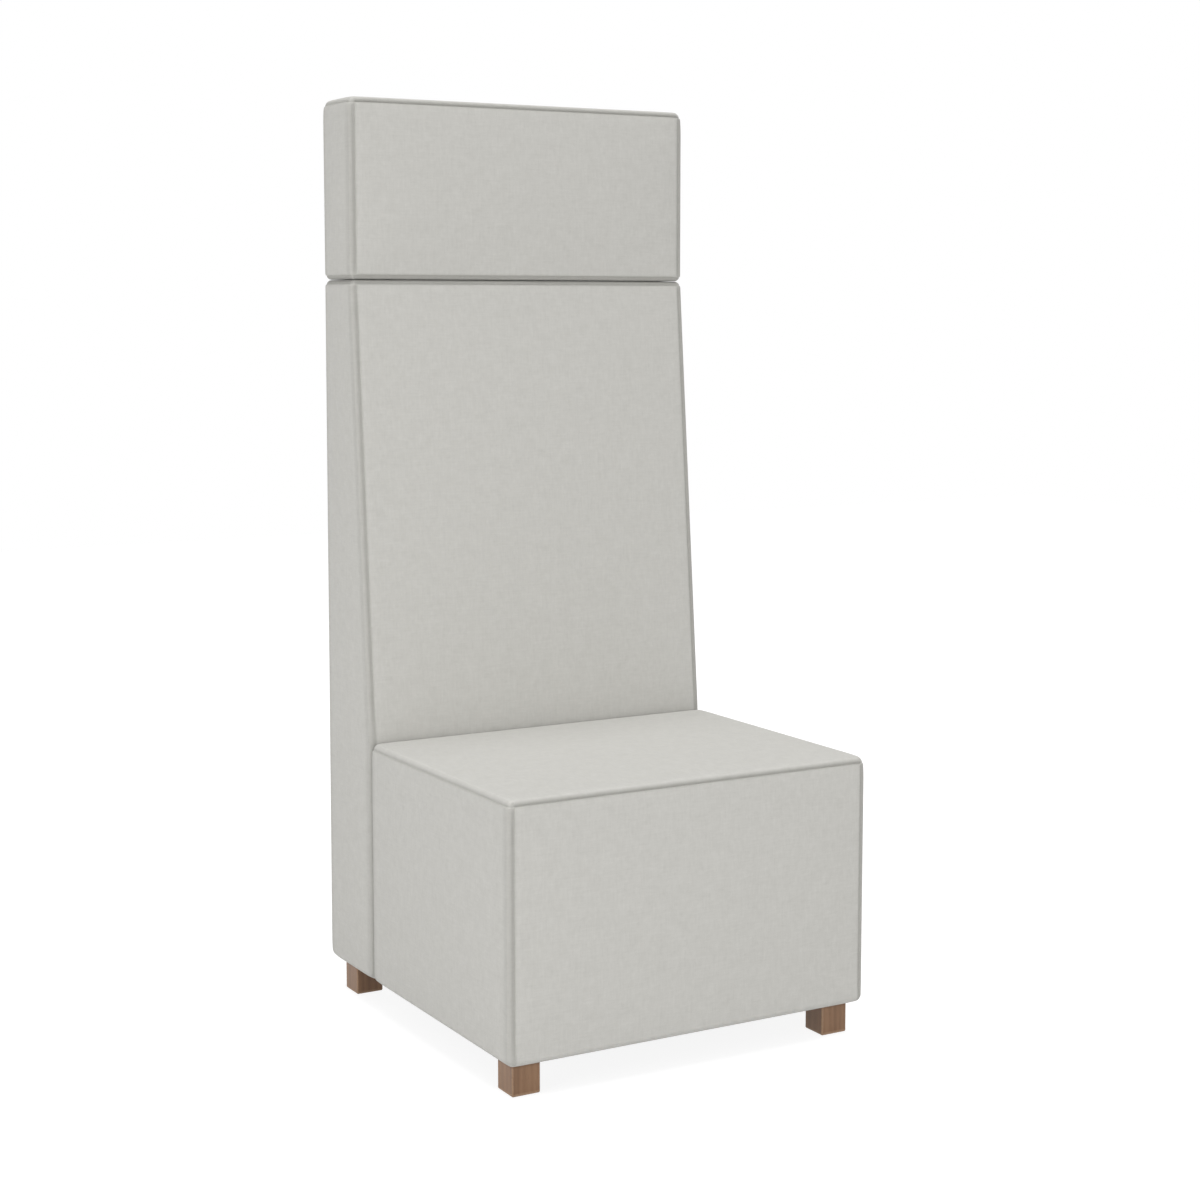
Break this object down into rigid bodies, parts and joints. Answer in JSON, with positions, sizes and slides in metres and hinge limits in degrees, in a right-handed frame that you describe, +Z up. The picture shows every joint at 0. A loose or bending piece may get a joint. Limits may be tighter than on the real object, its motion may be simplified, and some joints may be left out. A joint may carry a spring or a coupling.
{
  "type": "high back lounge chair",
  "caption": "Armless high back lounge chair: box seat, wedge-shaped back and separate headrest block in grey woven upholstery, standing on square stained wood feet.",
  "frame": {"origin": "on the floor, in the middle of the chair's footprint", "axes": "+Z up, the sitter faces -Y, +X is to the sitter's left"},
  "size_m": [0.61, 0.635, 1.43],
  "materials": {
    "upholstery": "matte",
    "foam": "matte",
    "padding": "matte",
    "felt": "matte",
    "dust_cloth": "matte",
    "plywood": "matte",
    "hardwood": "matte",
    "hardboard": "matte",
    "stained_wood": "satin",
    "zinc_steel": "satin",
    "spring_wire": "satin",
    "black_steel": "satin",
    "nylon": "matte"
  },
  "bodies": {
    "root": {"back_bar_rail": "plywood", "back_base_board": "plywood", "back_bottom_rail": "plywood", "back_cover": "upholstery", "back_dust_cover": "dust_cloth", "back_foam": "foam", "back_frame_screws": "zinc_steel", "back_front_board": "plywood", "back_left_pad": "padding", "back_left_panel": "plywood", "back_lumbar_rail": "plywood", "back_rear_board": "hardboard", "back_rear_pad": "padding", "back_right_pad": "padding", "back_right_panel": "plywood", "back_top_pad": "padding", "back_top_rail": "plywood", "bar_screws": "zinc_steel", "block_screws": "zinc_steel", "foot_front_left": "stained_wood", "foot_front_right": "stained_wood", "foot_glides": "nylon", "foot_rear_left": "stained_wood", "foot_rear_right": "stained_wood", "foot_t_nuts": "zinc_steel", "front_foot_blocks": "hardwood", "hanger_bolts": "zinc_steel", "headrest_bars": "black_steel", "headrest_bottom_rail": "plywood", "headrest_cover": "upholstery", "headrest_edge_pad": "padding", "headrest_foam": "foam", "headrest_frame_screws": "zinc_steel", "headrest_front_board": "plywood", "headrest_left_panel": "plywood", "headrest_rear_board": "hardboard", "headrest_rear_pad": "padding", "headrest_right_panel": "plywood", "headrest_top_rail": "plywood", "joint_bolts": "zinc_steel", "joint_t_nuts": "zinc_steel", "joint_washers": "zinc_steel", "rear_foot_blocks": "hardwood", "seat_cover": "upholstery", "seat_cross_brace": "hardwood", "seat_dust_cover": "dust_cloth", "seat_foam": "foam", "seat_frame_screws": "zinc_steel", "seat_front_pad": "padding", "seat_front_panel": "plywood", "seat_left_pad": "padding", "seat_left_panel": "plywood", "seat_rear_blocks": "hardwood", "seat_rear_panel": "plywood", "seat_right_pad": "padding", "seat_right_panel": "plywood", "seat_springs": "spring_wire", "spring_clips": "zinc_steel", "spring_insulator": "felt"}
  },
  "joints": []
}
